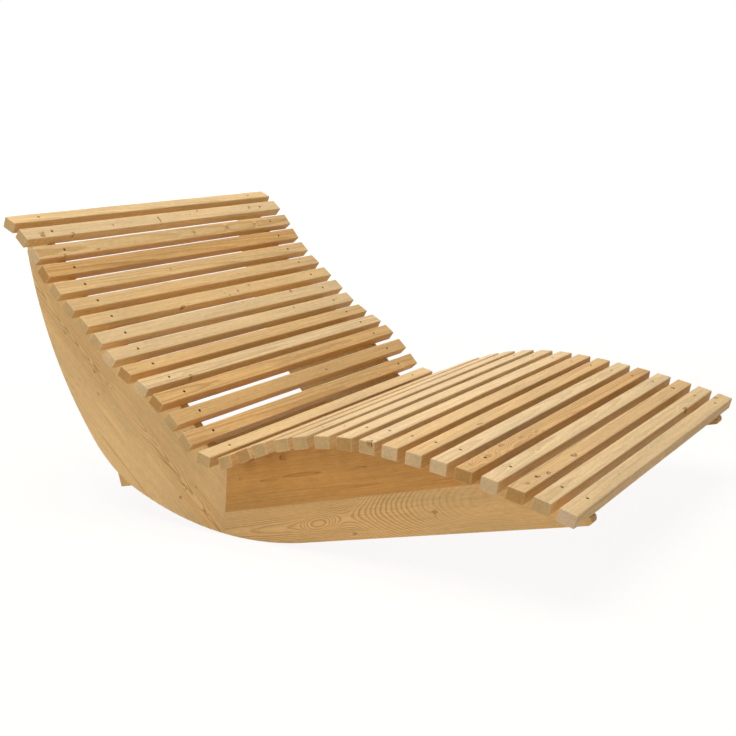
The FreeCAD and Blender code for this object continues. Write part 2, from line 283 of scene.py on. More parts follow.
end_shade = wires.mix(wires.math("MULTIPLY", late_share, 0.65), given["End Colour"], given["Late Colour"])
end_shade = wires.mix(1.0, end_shade, grey, "MULTIPLY")
colour = wires.mix(wires.math("MULTIPLY", given["End Grain"], 0.85), colour, end_shade)
core_colour = wires.mix(streaks, core_dark, core_light)
colour = wires.mix(wires.math("MULTIPLY", given["Core"], 0.76, clamp=True), colour, core_colour)
colour = wires.mix(wires.math("MULTIPLY", given["Rim"], 0.78, clamp=True), colour, bark_colour)
# Painted highlight: the eased edges are lightened in patches, as where they catch the light.
painted_edge_highlight = wires.math("MULTIPLY", given["Arris"], wires.ramp(flecks, 0.3, 0.6, 0.15, 0.4))
colour = wires.mix(painted_edge_highlight, colour, edge_highlight_colour)
rough = wires.math("MULTIPLY_ADD", fibres, 0.16, 0.50)
rough = wires.math("MULTIPLY_ADD", given["Latewood"], -0.07, rough)
rough = wires.math("MULTIPLY_ADD", given["End Grain"], 0.14, rough)
rough = wires.math("MULTIPLY_ADD", given["Core"], -0.12, rough, clamp=True)
height = wires.math("MULTIPLY_ADD", given["Latewood"], 0.30, wires.math("MULTIPLY", fibres, 0.55))
height = wires.math("MULTIPLY_ADD", streaks, 0.35, height)
height = wires.math("SUBTRACT", height, wires.math("MULTIPLY", dark_fleck, 1.2))
height = wires.math("MULTIPLY_ADD", given["Rim"], -0.8, height)
close_group(wires, {"Color": colour, "Roughness": rough, "Height": height})
softwood_surface = group
print("softwood surface:", len(group.nodes), "nodes")

# %% [markdown]
# Two small groups follow. The first marks the edges of a straight stick from nothing but
# its half sizes: a point lies near an edge where it is close to two faces at once. The
# second turns a point of the lounger into a point of a board, measured across the grain,
# along it, and into its thickness, because a board's grain rarely runs level.

# %% Masks and places
group, wires, given = new_group(
    "stick edges",
    [("Place", "Vector"), ("Half Size", "Vector"), ("Width", "Float", 0.004)],
    [("Arris", "Float")],
)
inside = wires.vector("SUBTRACT", given["Half Size"], wires.vector("ABSOLUTE", given["Place"]))
gaps = wires.split(inside)
shares = [wires.math("DIVIDE", gaps[axis], given["Width"]) for axis in range(3)]
near = [wires.math("SUBTRACT", 1.0, share, clamp=True) for share in shares]
pairs = [wires.math("MULTIPLY", near[a], near[b]) for a, b in ((0, 1), (1, 2), (0, 2))]
edge = wires.math("MAXIMUM", wires.math("MAXIMUM", pairs[0], pairs[1]), pairs[2])
close_group(wires, {"Arris": edge})
stick_edges = group

group, wires, given = new_group(
    "board place",
    [("Point", "Vector"), ("Start", "Vector"), ("Across", "Vector"), ("Along", "Vector"),
     ("Inward", "Vector")],
    [("Place", "Vector")],
)
from_start = wires.vector("SUBTRACT", given["Point"], given["Start"])
parts = [wires.vector("DOT_PRODUCT", from_start, given[way]) for way in ("Across", "Along", "Inward")]
place = wires.add("ShaderNodeCombineXYZ", dict(enumerate(parts))).outputs[0]
close_group(wires, {"Place": place})
board_place = group
print("masks ready")

# %% [markdown]
# Softwood from one yard still varies from stick to stick. A tone from 0 (straw) through
# 1 (orange brown) to 1.5 (red brown) picks the two colours of the rings, and the darker
# sticks also show their figure more strongly.

# %% Wood tones
spring_tones = [(0.00, (0.86, 0.68, 0.42)), (0.45, (0.82, 0.59, 0.30)), (1.00, (0.72, 0.43, 0.155)),
                (1.50, (0.54, 0.28, 0.075))]
late_tones = [(0.00, (0.70, 0.48, 0.235)), (0.45, (0.61, 0.365, 0.145)), (1.00, (0.47, 0.23, 0.065)),
              (1.50, (0.34, 0.14, 0.03))]


def pick_tone(stops, tone):
    """The colour at a tone, between the stops on either side of it."""
    for (low, first), (high, second) in zip(stops, stops[1:]):
        if tone <= high:
            share = (tone - low) / (high - low)
            return tuple(a + (b - a) * share for a, b in zip(first, second)) + (1.0,)
    return stops[-1][1] + (1.0,)


end_colours = {"pale": (0.71, 0.56, 0.36, 1.0), "white": (0.71, 0.58, 0.45, 1.0),
               "plain": (0.57, 0.415, 0.215, 1.0), "brown": (0.46, 0.265, 0.09, 1.0)}
print("tones from straw to red brown, ends in", len(end_colours), "colours")

# %% [markdown]
# Now the groups come together in one function that makes a softwood material. It could
# be one material for the whole lounger, driven by a number for each stick, but then
# every ray would work out the knots of all of them. One material for each stick keeps
# each web short, and slats and boards differ only in what they pass to the function.

# %% One softwood material
relief_strength = 0.35
relief_height = 0.0006
wood_shine = 0.18


def softwood(name, place_of, tone, heart, ring_width, taper, wander, seed, knots=(), figure=0.7,
             end_mask=None, arris_mask=None, face=0.0, end="plain", late_start=0.25):
    """A softwood material. Each knot is (across, along, size, stretch, push, reach, depth), on a face.

    The heart is a place, or a function that gives sockets for it, the rings' gain and the figure."""
    material = bpy.data.materials.new(name)
    material.use_nodes = True
    material.node_tree.nodes.clear()
    wires = Wiring(material.node_tree)
    place = place_of(wires)
    gain = 0.0
    if callable(heart):
        heart, gain, figure = heart(wires, place)
    sums = {"Swell": gain, "Core": 0.0, "Rim": 0.0}
    for across, along, size, stretch, push, reach, depth in knots:
        made = wires.group(knot_group, dict(
            sums, Place=place, Centre=(across, along, face), Size=size, Stretch=stretch,
            Push=push, Reach=reach, Depth=depth))
        sums = {key: made[key] for key in sums}
    rings = wires.group(tree_rings, {
        "Place": place, "Heart": heart, "Ring Width": ring_width, "Taper": taper, "Wander": wander,
        "Swell": sums["Swell"], "Late Start": late_start, "Seed": seed})
    surface = wires.group(softwood_surface, {
        "Place": place, "Latewood": rings["Latewood"], "Core": sums["Core"], "Rim": sums["Rim"],
        "End Grain": end_mask(wires) if end_mask else 0.0,
        "Arris": arris_mask(wires, place) if arris_mask else 0.0,
        "Spring Colour": pick_tone(spring_tones, tone), "Late Colour": pick_tone(late_tones, tone),
        "End Colour": end_colours[end], "Figure": figure, "Seed": seed})
    relief = wires.add("ShaderNodeBump", {
        "Height": surface["Height"], "Strength": relief_strength, "Distance": relief_height})
    shader = wires.add("ShaderNodeBsdfPrincipled", {
        "Base Color": surface["Color"], "Roughness": surface["Roughness"], "Normal": relief.outputs[0],
        "Specular IOR Level": wood_shine})
    wires.add("ShaderNodeOutputMaterial", {"Surface": shader.outputs[0]})
    return material


def own_place(wires):
    """A piece's own coordinates."""
    return wires.add("ShaderNodeTexCoord").outputs["Object"]


def face_turn(wires, direction):
    """How squarely a face looks along a direction, from 0 to 1."""
    normal = wires.add("ShaderNodeNewGeometry").outputs["Normal"]
    return wires.math("ABSOLUTE", wires.vector("DOT_PRODUCT", normal, direction))


print("softwood function ready")

# %% [markdown]
# ## The slats
# Each slat is a planed stick, 45 by 34 mm, screwed down onto both sides. There are 31,
# and each leans as the side's curve does below it. Their places could be worked out again
# from that curve, but the CAD slats have them already, so each one's middle, slope and
# size are measured on its own faces: the largest faces that aren't ends are the top and
# the underside.

# %% Where the CAD slats lie
slat_names = sorted(name for name in nodes if name.startswith("slat_"))
level = 0.01


def measure_slat(cad):
    """A CAD slat's middle, its slope about Y and its size, from its own faces."""
    mesh = cad.data
    tops = {}
    for face in mesh.polygons:
        if abs(face.normal.y) < level:
            normal = face.normal if face.normal.z > 0 else -face.normal
            key = round(math.degrees(math.atan2(normal.x, normal.z)), 1)
            tops[key] = tops.get(key, 0.0) + face.area
    lean = max(tops, key=tops.get)
    turn = Matrix.Rotation(math.radians(lean), 3, "Y")
    local = [turn.inverted() @ vertex.co for vertex in mesh.vertices]
    low = Vector(min(point[axis] for point in local) for axis in range(3))
    high = Vector(max(point[axis] for point in local) for axis in range(3))
    return turn @ ((low + high) / 2), turn, high - low


slat_places = {name: measure_slat(nodes[name]) for name in slat_names}
slat_size = slat_places[slat_names[0]][2]
print("slats:", len(slat_names), "size in mm:", [round(1000 * length, 1) for length in slat_size])

# %% [markdown]
# The long edges were eased with a plane or a sander. A bevel on a box would give every
# edge the same perfect round. Here the outline is written as points instead, each with
# its outward normal and how much it belongs to a corner, because that share decides
# later how much wear the point takes.

# %% The rounded outline of a stick
def rounded_outline(width, height, radius, corner_steps, flat_step, strip):
    """Points round a rounded rectangle, each with its outward normal and how much it is a corner."""
    points = []
    corners = [(1, 1, 0), (-1, 1, 90), (-1, -1, 180), (1, -1, 270)]
    for side_x, side_z, start in corners:
        middle = Vector((side_x * (width / 2 - radius), side_z * (height / 2 - radius)))
        for step in range(corner_steps + 1):
            angle = math.radians(start + 90 * step / corner_steps)
            normal = Vector((math.cos(angle), math.sin(angle)))
            points.append((middle + normal * radius, normal, 1.0 - abs(2 * step / corner_steps - 1) * 0.5))
        following = math.radians(start + 90)
        normal = Vector((math.cos(following), math.sin(following)))
        run = (width if abs(normal.y) > 0.5 else height) - 2 * radius
        direction = Vector((-normal.y, normal.x))
        begin = middle + normal * radius
        inner = max(1, round((run - 2 * strip) / flat_step))
        stops = [strip + (run - 2 * strip) * n / inner for n in range(inner + 1)]
        points.extend((begin + direction * stop, normal, 0.0) for stop in stops)
    return points


edge_round = 0.0026
stick_outline = rounded_outline(
    slat_size.x, slat_size.z, edge_round, corner_steps=3, flat_step=0.008, strip=0.0007)
print("outline of", len(stick_outline), "points")

# %% [markdown]
# The outline is carried along the length in short steps. A curve with a bevel could do
# it, but then nothing could change on the way. In mesh code each ring of points can be
# moved a little: small noise lets the edges wander in and out, a nick bites into one
# edge here and there, and the light breaks along them as on the real ones. The first
# and the last rings draw in, which eases the ends too: each end step is a distance from
# the end and how far the ring draws in there, in metres.

# %% Sweeping the outline into a stick
end_steps = [(0.0, 0.0014), (0.00025, 0.0008), (0.0007, 0.0003), (0.0014, 0.0)]
sweep_step = 0.006
edge_wear = 0.00045
plane_marks = 0.00010
cap_share = 0.93


def wobble(point, y, across, along, seed, shift):
    """Noise on a stick, with about so many waves to the metre across it and along it."""
    return noise.noise(Vector((point.x * across, y * along + seed * shift, point.y * across + seed)))


def stick_mesh(name, size, outline, seed, nicks=()):
    """A stick along Y about its middle. Each nick is (side X, side Z, place along Y, depth, length)."""
    half = size.y / 2
    stations = [(-half + place, inset) for place, inset in end_steps]
    body = size.y - 2 * end_steps[-1][0]
    count = round(body / sweep_step)
    stations += [(-half + end_steps[-1][0] + body * n / count, 0.0) for n in range(1, count)]
    stations += [(half - place, inset) for place, inset in reversed(end_steps)]
    mesh = bmesh.new()
    rings = []
    for y, inset in stations:
        ring = []
        for point, normal, corner in outline:
            rough = wobble(point, y, 40, 9, seed, 7.1)
            fine = wobble(point, y, 130, 70, seed, 3.3)
            inward = plane_marks * (rough + 0.4)
            if corner:
                inward += corner * edge_wear * max(0.0, 0.35 + rough * 1.1 + fine * 0.6)
                for side_x, side_z, place, depth, length in nicks:
                    if normal.x * side_x > 0 and normal.y * side_z > 0:
                        bite = depth * math.exp(-((y - place) / length) ** 2)
                        inward += corner * bite * (1 + 0.6 * fine)
            moved = point - normal * (inset + max(0.0, inward))
            ring.append(mesh.verts.new((moved.x, y, moved.y)))
        rings.append(ring)
    total = len(outline)
    for first, second in zip(rings, rings[1:]):
        for n in range(total):
            mesh.faces.new((first[n], second[n], second[(n + 1) % total], first[(n + 1) % total]))
    for ring in (rings[0], rings[-1]):
        inner = [mesh.verts.new((vertex.co.x * cap_share, vertex.co.y, vertex.co.z * cap_share))
                 for vertex in ring]
        for n in range(total):
            quad = [ring[n], ring[(n + 1) % total], inner[(n + 1) % total], inner[n]]
            mesh.faces.new(quad)
        mesh.faces.new(inner)
    bmesh.ops.recalc_face_normals(mesh, faces=mesh.faces)
    data = bpy.data.meshes.new(name)
    mesh.to_mesh(data)
    mesh.free()
    return data


print("sticks are swept in steps of", round(1000 * sweep_step), "mm")

# %% [markdown]
# The screws sit in countersunk holes near each end of a slat. The holes could be painted
# as dark dots, but from close by a real hole has a rim that catches light. So one cutter
# is made for all slats. It has the outline of the CAD hole: a short bore for the head,
# the cone under it, and the shank's hole. Its points are a radius and a height over the
# top of the slat, in metres.

# %% The cutter for the screw holes
screw_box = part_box("right_slat_screws")
screw_line = (screw_box[0].y + screw_box[1].y) / 2
hole_outline = [(0.0045, 0.004), (0.0045, -0.0021), (0.00245, -0.0056), (0.00245, -0.05)]
hole_sides = 28


def hole_cutter(top, line):
    """Two screw holes in one mesh, mirrored across the middle of a slat."""
    mesh = bmesh.new()
    turns = [2 * math.pi * n / hole_sides for n in range(hole_sides)]
    for side in (-line, line):
        rings = [[mesh.verts.new((radius * math.cos(turn), side + radius * math.sin(turn), top + height))
                  for turn in turns] for radius, height in hole_outline]
        for first, second in zip(rings, rings[1:]):
            for n in range(hole_sides):
                after = (n + 1) % hole_sides
                mesh.faces.new((first[n], second[n], second[after], first[after]))
        mesh.faces.new(rings[0])
        mesh.faces.new(list(reversed(rings[-1])))
    bmesh.ops.recalc_face_normals(mesh, faces=mesh.faces)
    data = bpy.data.meshes.new("hole_cutter")
    mesh.to_mesh(data)
    mesh.free()
    made = bpy.data.objects.new("hole_cutter", data)
    bpy.context.scene.collection.objects.link(made)
    return made


cutter = hole_cutter(slat_size.z / 2, abs(screw_line))
print("screw line at", round(abs(screw_line), 4), "m from the middle")

# %% [markdown]
# A boolean modifier cuts the cutter out of a slat, and its result is kept as plain
# geometry, because a live modifier would need the cutter to stay in the scene. Smooth
# shading then hides the facets of the eased edges, while real corners stay crisp.

# %% Cutting and smoothing
def cut_holes(piece, tool):
    """Cuts the tool out of a piece and leaves plain geometry."""
    cut = piece.modifiers.new("holes", "BOOLEAN")
    cut.operation = "DIFFERENCE"
    cut.solver = "EXACT"
    cut.object = tool
    bpy.context.view_layer.update()
    graph = bpy.context.evaluated_depsgraph_get()
    result = bpy.data.meshes.new_from_object(piece.evaluated_get(graph))
    piece.modifiers.clear()
    old = piece.data
    piece.data = result
    bpy.data.meshes.remove(old)


def soften(mesh, angle=40):
    """Smooth shading that stays crisp at real corners."""
    for face in mesh.polygons:
        face.use_smooth = True
    mesh.set_sharp_from_angle(angle=math.radians(angle))


print("boolean cut ready")

# %% [markdown]
# No two slats came from the same place in a tree. What the eye would miss if it were
# gone is written down one by one: each slat's tone, the colour of its ends, its larger knots
# and its nicks. A knot is given by its place across and along the slat, its size, how far
# it stretches along the grain, and how far it pushes the rings. The rest, such as where
# the tree's heart lay, is picked at random, seeded so that every run gives the same
# lounger.

# %% The slats' own characters
slat_tones = {
    1: 0.42, 2: 0.20, 3: 0.52, 4: 0.88, 5: 0.52, 6: 0.54, 7: 0.48, 8: 0.20, 9: 0.25, 10: 0.70,
    11: 0.24, 12: 0.78, 13: 0.70, 14: 0.70, 15: 0.38, 16: 0.74, 17: 0.43, 18: 0.28, 19: 0.38,
    20: 0.34, 21: 0.25, 22: 0.34, 23: 0.29, 24: 0.62, 25: 0.70, 26: 0.20, 27: 0.86, 28: 0.20,
    29: 0.56, 30: 0.28, 31: 0.28,
}
slat_knots = {
    2: [(0.007, -0.535, 0.009, 1.1, 0.006), (0.018, -0.425, 0.003, 1.6, 0.003),
        (0.004, -0.250, 0.004, 0.9, 0.002), (0.006, -0.039, 0.012, 0.30, 0.003),
        (-0.016, 0.163, 0.006, 0.6, 0.003), (-0.002, 0.435, 0.005, 1.3, 0.004)],
    3: [(0.020, -0.501, 0.004, 1.5, 0.003), (0.016, -0.368, 0.003, 1.5, 0.002),
        (0.001, 0.075, 0.004, 1.1, 0.0015), (0.002, 0.247, 0.006, 0.8, 0.0015),
        (0.001, 0.404, 0.005, 1.1, 0.0015)],
    5: [(0.000, -0.129, 0.003, 1.5, 0.0015)],
    7: [(0.022, -0.207, 0.005, 1.4, 0.004), (-0.010, 0.147, 0.006, 1.0, 0.002),
        (0.004, 0.075, 0.004, 1.2, 0.002), (0.015, 0.024, 0.003, 1.5, 0.002)],
    8: [(-0.015, 0.318, 0.005, 1.3, 0.003)],
    9: [(-0.010, 0.265, 0.003, 1.4, 0.003)],
    11: [(0.020, -0.420, 0.005, 1.5, 0.006)],
    13: [(0.004, 0.120, 0.004, 1.4, 0.005)],
    23: [(0.005, -0.599, 0.008, 1.4, 0.006)],
    25: [(0.014, -0.290, 0.004, 2.0, 0.005)],
    27: [(-0.004, -0.560, 0.004, 1.8, 0.006), (0.001, -0.479, 0.007, 1.8, 0.010),
         (-0.010, -0.390, 0.006, 1.6, 0.008), (-0.003, -0.297, 0.004, 1.8, 0.006),
         (0.010, -0.229, 0.003, 1.6, 0.005)],
    29: [(0.003, -0.545, 0.006, 1.6, 0.010), (0.004, -0.494, 0.005, 1.6, 0.009),
         (0.012, -0.447, 0.005, 1.8, 0.008), (0.007, -0.290, 0.006, 1.6, 0.009),
         (-0.004, 0.494, 0.005, 1.5, 0.007)],
    30: [(0.016, 0.346, 0.005, 2.2, 0.006)],
    31: [(-0.013, 0.547, 0.006, 1.4, 0.007)],
}
slat_nicks = {
    2: [(1, -1, -0.50, 0.0016, 0.020), (1, -1, -0.40, 0.0010, 0.014)],
    3: [(1, -1, -0.20, 0.0008, 0.030)],
    25: [(1, 1, -0.28, 0.0020, 0.010)],
    29: [(1, 1, 0.36, 0.0018, 0.009)],
    30: [(1, 1, 0.35, 0.0022, 0.012)],
}
strong_figure = {27: 1.0, 29: 1.0, 4: 0.85, 12: 0.85}
slat_ends = {
    3: "pale", 4: "brown", 9: "pale", 10: "brown", 11: "pale", 12: "brown", 17: "brown", 22: "brown",
    24: "pale", 25: "pale", 26: "pale", 27: "brown", 28: "pale", 29: "brown", 31: "white",
}
print("slats with knots of their own:", len(slat_knots))

# %% [markdown]
# A stick is either sawn flat, with the heart below or above it, so that long arches show
# on its wide faces, or sawn upright, with the heart to one side, so that they show fine
# lines. Two masks go in as well: the eased edges, and the sawn ends, which are told by
# the way the face looks.

# %% The wood of one slat
end_turn = (0.6, 0.9)
knot_reach = 2.6
knot_depth = 1.25


def slat_material(number, size):
    """The softwood of one slat, with its tone, its heart and its knots."""
    dice = random.Random(400 + number)
    sawn_flat = dice.random() < 0.6
    side = dice.choice((-1, 1))
    if sawn_flat:
        heart = (side * dice.uniform(0.0, 0.02), 0.0, dice.choice((-1, 1)) * dice.uniform(0.03, 0.08))
    else:
        heart = (side * dice.uniform(0.04, 0.10), 0.0, dice.uniform(-0.03, 0.03))
    knots = [(*knot, knot_reach, knot_depth) for knot in slat_knots.get(number, [])]
    if dice.random() < 0.7:
        knots.append((dice.uniform(-0.015, 0.015), dice.uniform(-0.45, 0.55),
                      dice.uniform(0.0015, 0.003), 1.6, 0.003, knot_reach, 0.8))

    def edges(wires, place):
        return wires.group(stick_edges, {"Place": place, "Half Size": size / 2})["Arris"]

    def ends(wires):
        return wires.ramp(face_turn(wires, (0.0, 1.0, 0.0)), *end_turn)

    return softwood(
        "slat wood %02d" % number, own_place, tone=slat_tones[number], heart=heart,
        ring_width=dice.uniform(0.0018, 0.0034), taper=dice.uniform(0.002, 0.009),
        wander=dice.uniform(0.003, 0.009), seed=number * 1.37, knots=knots,
        figure=strong_figure.get(number, dice.uniform(0.45, 0.75)), end_mask=ends, arris_mask=edges,
        face=size.z / 2, end=slat_ends.get(number, "plain"))


print("slat wood ready")

# %% [markdown]
# Each slat is now swept, cut, smoothed and laid where its CAD slat lies. It rides on the
# lounger's one body, and it takes the place of the CAD slat, which stays in the scene, hidden.

# %% Making the slats
for name in slat_names:
    number = int(name.split("_")[1])
    middle, turn, size = slat_places[name]
    mesh = stick_mesh("timber_" + name, size, stick_outline, number, nicks=slat_nicks.get(number, ()))
    piece = bpy.data.objects.new("timber_" + name, mesh)
    bpy.context.scene.collection.objects.link(piece)
    cut_holes(piece, cutter)
    soften(piece.data)
    piece.data.materials.clear()
    piece.data.materials.append(slat_material(number, size))
    piece.matrix_world = Matrix.Translation(middle) @ turn.to_4x4()
    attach(piece, "root")
    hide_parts(name)
bpy.data.objects.remove(cutter)
print("slats made:", len(slat_names), "faces on the last:", len(piece.data.polygons))

# %% [markdown]
# ## The side boards
# Each side is glued up from three wide boards. Their CAD shapes are right, so they only
# get timber. The grain of the back board runs down towards the seat, and that of the
# other two follows the joint between them. Each board has rings of its own, which is
# what shows that there are three. A point of the lounger is first turned into a place
# on its board.

# %% Grain of the side boards
board_late_start = 0.45


def board_material(name, tone, slope, start, side, heart, ring_width, taper, wander, seed, knots, figure):
    """Softwood whose grain runs at a slope in degrees; side is -1 for the right-hand side."""
    angle = math.radians(slope)
    along = (math.cos(angle), 0.0, math.sin(angle))
    across = (-math.sin(angle), 0.0, math.cos(angle))

    def place(wires):
        return wires.group(board_place, {
            "Point": own_place(wires), "Start": start, "Across": across, "Along": along,
            "Inward": (0.0, -side, 0.0)})["Place"]

    def ends(wires):
        return wires.ramp(face_turn(wires, along), 0.55, 0.9)

    def edges(wires, place):
        flat = face_turn(wires, (0.0, 1.0, 0.0))
        return wires.math("MULTIPLY", wires.ramp(flat, 0.05, 0.4), wires.ramp(flat, 0.75, 0.99, 1.0, 0.0))

    return softwood(name, place, tone, heart, ring_width, taper, wander, seed, knots, figure, ends, edges,
                    late_start=board_late_start)


near_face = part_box("right_back_board")[0].y
far_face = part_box("left_back_board")[1].y
print("outer faces of the sides at", round(near_face, 3), "and", round(far_face, 3))

# %% [markdown]
# Wide boards are flat-sawn, so their rings open into arches. A straight heart gives even
# arches, and swellings without a knot close them into eyes, but a real trunk is never
# straight. Where its heart comes nearer to the sawn face and goes away again, the rings
# close into an eye, and where it slants, they run out in nested tips. Four curves along
# the board say this: where the heart lies across the board, how deep it lies, how many
# rings are gained along the way, and how strongly the figure shows, which also fades
# away from the heart.

# %% A heart that isn't straight
faint_share = 0.16
core_share = 0.3


def crooked_heart(ring_width, across_run, depth_run, ring_run, figure_run, half_width):
    """A heart that follows curves along the board, for softwood().

    The figure fades with the distance across from the heart, over half_width."""
    def follow(wires, place):
        parts = wires.split(place)
        along = parts[1]
        across = wires.curve(along, across_run)
        depth = wires.curve(along, depth_run)
        rings = wires.curve(along, ring_run)
        behind = wires.math("MULTIPLY", depth, -1.0)
        heart = wires.add("ShaderNodeCombineXYZ", {0: across, 2: behind}).outputs[0]
        aside = wires.math("ABSOLUTE", wires.math("SUBTRACT", parts[0], across))
        fade = wires.ramp(aside, core_share * half_width, half_width, 1.0, faint_share)
        figure = wires.math("MULTIPLY", wires.curve(along, figure_run), fade)
        return heart, wires.math("MULTIPLY_ADD", rings, ring_width, behind), figure
    return follow


print("hearts can bend now")

# %% [markdown]
# The near side is the one seen best. Its back board has narrow flames along the grain
# and a few small knots, its seat board is redder and plain with short dark streaks, and
# its base board has a closed eye followed by a field of nested arcs. Every curve and
# every knot was set one by one, in metres along the grain from the board's start.

# %% The near side's boards
back_knots = [
    (-0.050, 0.514, 0.0045, 1.3, 0.004, 2.6, 1.0), (-0.013, 0.510, 0.003, 1.3, 0.003, 2.6, 1.0),
    (0.0235, 0.531, 0.003, 1.4, 0.003, 2.6, 1.0), (-0.006, 0.5996, 0.0035, 1.3, 0.004, 2.6, 1.0),
    (-0.0093, 0.0465, 0.006, 1.4, 0.006, 3.0, 0.7), (-0.0548, 0.1017, 0.004, 1.4, 0.004, 2.6, 0.6),
    (-0.008, -0.110, 0.005, 1.4, 0.005, 2.6, 0.6), (-0.008, 0.44, 0.0035, 22.0, 0.004, 2.0, 0.55),
    (-0.151, 0.30, 0.002, 55.0, 0.003, 2.0, 0.5)]
seat_knots = [
    (0.0, 0.0, 0.007, 1.5, 0.008, 3.0, 0.8), (-0.056, -0.069, 0.0035, 7.0, 0.004, 2.4, 0.55),
    (-0.052, 0.050, 0.0040, 13.0, 0.004, 2.4, 0.6), (-0.0545, 0.232, 0.0035, 8.0, 0.004, 2.4, 0.45),
    (-0.042, -0.165, 0.0045, 1.6, 0.005, 2.6, 0.6)]
base_knots = [
    (0.001, 0.545, 0.014, 1.8, 0.010, 1.0, 0.0), (-0.001, 0.367, 0.0045, 1.3, 0.004, 2.6, 0.8),
    (-0.038, 0.109, 0.003, 2.2, 0.003, 2.6, 0.9)]
back_ring = 0.0060
base_ring = 0.0034
back_heart = crooked_heart(
    back_ring,
    across_run=[(-0.40, 0.030), (-0.25, 0.018), (-0.12, 0.004), (0.09, 0.0), (0.17, 0.003),
                (0.59, -0.008), (0.80, -0.010)],
    depth_run=[(-0.40, 0.012), (0.10, 0.007), (0.20, 0.012), (0.60, 0.008), (0.80, 0.010)],
    ring_run=[(-0.40, 0.0), (-0.15, 2.6), (0.0, 5.5), (0.09, 6.2), (0.14, 4.6), (0.20, 4.2),
              (0.35, 6.0), (0.59, 9.0), (0.80, 10.5)],
    figure_run=[(-0.40, 0.90), (0.10, 1.60), (0.15, 0.60), (0.22, 0.80), (0.45, 1.40), (0.62, 1.70),
                (0.80, 0.80)],
    half_width=0.060)
base_heart = crooked_heart(
    base_ring,
    across_run=[(-0.40, -0.004), (-0.07, -0.003), (0.0, 0.0), (0.09, 0.008), (0.30, 0.018),
                (0.40, 0.021), (0.70, 0.006)],
    depth_run=[(-0.40, 0.040), (-0.12, 0.026), (0.0, 0.020), (0.09, 0.034), (0.16, 0.080),
               (0.25, 0.110), (0.70, 0.110)],
    ring_run=[(-0.40, 6.6), (-0.20, 5.6), (-0.08, 4.3), (0.0, 0.0), (0.09, 4.6), (0.14, 3.2),
              (0.20, 0.0), (0.30, -6.0), (0.40, -12.0), (0.50, -16.0), (0.70, -19.0)],
    figure_run=[(-0.40, 0.70), (-0.10, 1.40), (0.0, 1.90), (0.12, 1.50), (0.26, 1.20), (0.36, 0.60),
                (0.48, 0.30), (0.70, 0.25)],
    half_width=0.30)
near_side = -1
joint_slope = 13.27
side_boards = {
    "right_back_board": board_material(
        "near back board", tone=0.38, slope=-44, start=(-0.691, near_face, 0.481), side=near_side,
        heart=back_heart, ring_width=back_ring, taper=0.0, wander=0.012, seed=3.1,
        knots=back_knots, figure=0.80),
    "right_seat_board": board_material(
        "near seat board", tone=1.18, slope=joint_slope, start=(0.029, near_face, 0.254),
        side=near_side, heart=(-0.10, 0.0, -0.020), ring_width=0.0030, taper=0.006, wander=0.008,
        seed=8.4, knots=seat_knots, figure=0.45),
    "right_base_board": board_material(
        "near base board", tone=0.47, slope=joint_slope, start=(0.135, near_face, 0.086),
        side=near_side, heart=base_heart, ring_width=base_ring, taper=0.0, wander=0.013, seed=5.6,
        knots=base_knots, figure=1.0),
}
print("near side:", len(back_knots) + len(seat_knots) + len(base_knots), "knots and marks")

# %% [markdown]
# The far side and the stop bar are never seen well in one picture with the near side,
# but someone will turn the lounger round. They get timber of the same kind, with hearts
# that are straight and a few knots and swellings of their own.

# %% The far side's boards and the stop bar
far_side = 1
side_boards["left_back_board"] = board_material(
    "far back board", tone=0.46, slope=-44, start=(-0.66, far_face, 0.45), side=far_side,
    heart=(0.02, 0.0, -0.060), ring_width=0.0036, taper=0.010, wander=0.022, seed=12.3,
    knots=[(0.03, 0.10, 0.006, 1.4, 0.006, 2.6, 0.9), (-0.06, 0.45, 0.004, 1.4, 0.005, 2.6, 0.9),
           (0.01, 0.60, 0.005, 1.5, 0.006, 2.6, 0.9)],
    figure=0.75)
side_boards["left_seat_board"] = board_material(
    "far seat board", tone=0.72, slope=13, start=(0.20, far_face, 0.26), side=far_side,
    heart=(0.05, 0.0, -0.050), ring_width=0.0032, taper=0.006, wander=0.012, seed=15.8,
    knots=[(0.01, 0.06, 0.006, 1.5, 0.007, 2.6, 0.9), (-0.02, -0.15, 0.004, 1.5, 0.005, 2.6, 0.9)],
    figure=0.6)
side_boards["left_base_board"] = board_material(
    "far base board", tone=0.55, slope=13, start=(0.25, far_face, 0.11), side=far_side,
    heart=(0.0, 0.0, -0.090), ring_width=0.0042, taper=0.004, wander=0.012, seed=19.1,
    knots=[(0.0, 0.05, 0.034, 2.2, 0.022, 1.0, 0.0), (0.01, -0.22, 0.020, 2.6, 0.016, 1.0, 0.0),
           (-0.02, 0.30, 0.005, 1.4, 0.006, 2.6, 0.9)],
    figure=0.95)
bar_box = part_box("rear_stop_bar")
bar_middle = (bar_box[0] + bar_box[1]) / 2


def bar_place(wires):
    """Coordinates from the middle of the stop bar."""
    return wires.vector("SUBTRACT", own_place(wires), tuple(bar_middle))


side_boards["rear_stop_bar"] = softwood(
    "stop bar wood", bar_place, tone=0.5, heart=(0.02, 0.0, -0.06), ring_width=0.003, taper=0.005,
    wander=0.008, seed=23.0,
    knots=[(0.02, -0.21, 0.006, 1.4, 0.007, 2.6, 0.9), (-0.025, 0.17, 0.004, 1.4, 0.005, 2.6, 0.9)],
    figure=0.6)


def dress(name, material):
    """Puts a material in all slots of a CAD piece."""
    for slot in nodes[name].material_slots:
        slot.material = material


for name, material in side_boards.items():
    dress(name, material)
print("boards dressed:", len(side_boards))

# %% [markdown]
# ## Dowels and screws
# The dowels that hold the boards together are turned beech, finer in grain and paler
# than the softwood. Nobody sees them in the finished lounger, so the softwood function
# serves again, with narrow rings round a heart far away.

